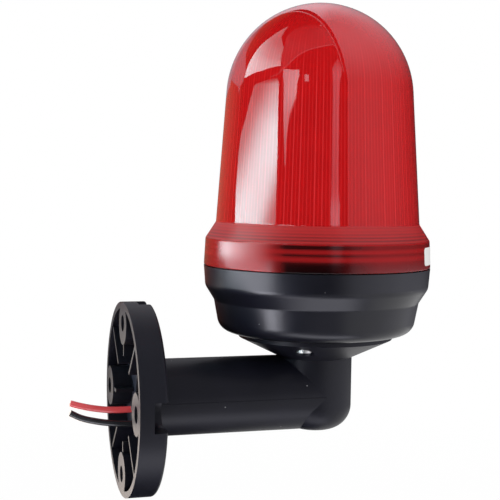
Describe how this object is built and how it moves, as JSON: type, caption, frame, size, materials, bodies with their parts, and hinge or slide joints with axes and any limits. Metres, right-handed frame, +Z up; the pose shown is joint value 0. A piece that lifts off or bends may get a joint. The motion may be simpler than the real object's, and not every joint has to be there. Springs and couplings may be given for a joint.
{
  "type": "flashing signal light",
  "caption": "Red domed flashing signal beacon on a round black base, carried by an L-shaped tubular wall bracket with a bolted flange and supply leads through the arm.",
  "frame": {"origin": "centre of the wall flange's back face, on the axis of the arm", "axes": "+X out of the wall along the arm, +Z up along the beacon"},
  "size_m": [0.137, 0.086, 0.1826],
  "materials": {
    "bracket_plastic": "satin moulded black ABS",
    "base_plastic": "satin moulded black ABS",
    "lens_plastic": "glossy translucent red polycarbonate with inner flutes",
    "seal_rubber": "moulded black rubber",
    "screw_steel": "bright zinc plate",
    "driver_laminate": "green solder mask",
    "capacitor_can": "drawn can",
    "component_plastic": "black moulded epoxy",
    "connector_plastic": "white nylon",
    "carrier_plastic": "white moulded plastic",
    "lamp_laminate": "white solder mask",
    "lamp_resin": "clear red resin",
    "red_insulation": "extruded red PVC",
    "black_insulation": "extruded black PVC"
  },
  "bodies": {
    "mounted_unit": {"wall_bracket": "bracket_plastic", "base_housing": "base_plastic", "bracket_gasket": "seal_rubber", "lead_grommet": "seal_rubber", "bracket_screws": "screw_steel", "base_nuts": "screw_steel", "board_screws": "screw_steel", "driver_board": "driver_laminate", "smoothing_capacitor": "capacitor_can", "flasher_chip": "component_plastic", "switching_transistor": "component_plastic", "protection_diode": "component_plastic", "resistors": "component_plastic", "lead_connector": "connector_plastic", "led_carrier": "carrier_plastic", "led_board_1": "lamp_laminate", "led_board_2": "lamp_laminate", "led_board_3": "lamp_laminate", "led_board_4": "lamp_laminate", "led_board_5": "lamp_laminate", "led_board_6": "lamp_laminate", "led_top_board": "lamp_laminate", "led_row_1": "lamp_resin", "led_row_2": "lamp_resin", "led_row_3": "lamp_resin", "led_row_4": "lamp_resin", "led_row_5": "lamp_resin", "led_row_6": "lamp_resin", "led_top_leds": "lamp_resin", "red_lead": "red_insulation", "black_lead": "black_insulation"},
    "seal": {"lens_seal": "seal_rubber"},
    "lens": {"lens": "lens_plastic"}
  },
  "joints": [
    {"name": "lens_rise", "type": "slide", "parent": "mounted_unit", "child": "seal", "axis": [0, 0, 1], "range_m": [0, 0.008]},
    {"name": "lens_turn", "type": "hinge", "parent": "seal", "child": "lens", "pos_m": [0.0745, 0, 0.0482], "axis": [0, 0, 1], "range_deg": [0, 720]}
  ],
  "couplings": [
    {"joint": "lens_rise", "follows": "lens_turn", "m_per_rad": 0.0006366}
  ]
}
